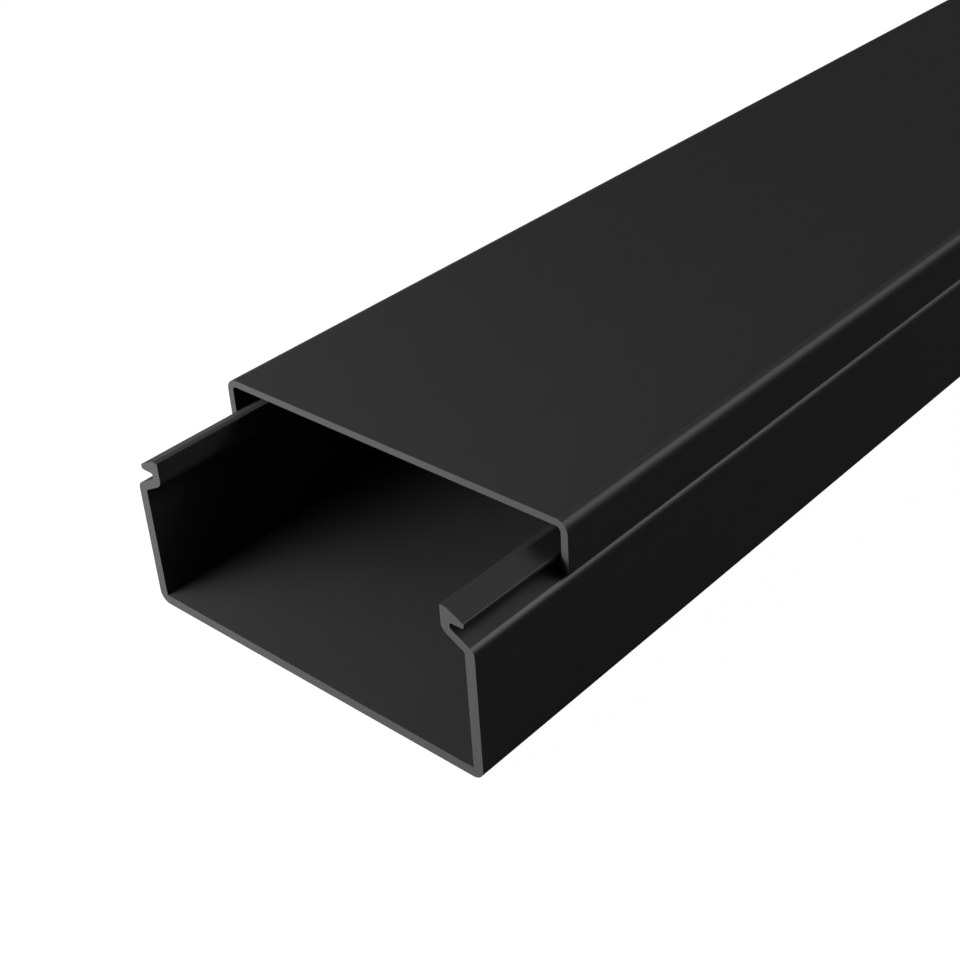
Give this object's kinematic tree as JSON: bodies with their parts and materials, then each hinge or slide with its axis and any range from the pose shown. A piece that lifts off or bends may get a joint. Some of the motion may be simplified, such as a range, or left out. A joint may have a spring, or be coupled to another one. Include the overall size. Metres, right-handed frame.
{
  "type": "cord cover raceway",
  "caption": "Straight surface-mount cord cover raceway: a U-shaped base channel with hooked walls and a flat clip-on cover that slides along it, slid a little back from one end.",
  "frame": {"origin": "centre of the base channel's flat back face, midway along the base and midway across it", "axes": "+Y along the channel away from its open near end, +Z out of the back face towards the cover, +X across the channel"},
  "size_m": [0.04, 0.4114, 0.0186],
  "materials": {
    "black_pvc": "matte, as extruded"
  },
  "bodies": {
    "base": {"base_channel": "black_pvc"},
    "cover": {"snap_cover": "black_pvc"}
  },
  "joints": [
    {"name": "cover_slide", "type": "slide", "parent": "base", "child": "cover", "axis": [0, 1, 0], "range_m": [-0.0114, 0.395]}
  ]
}
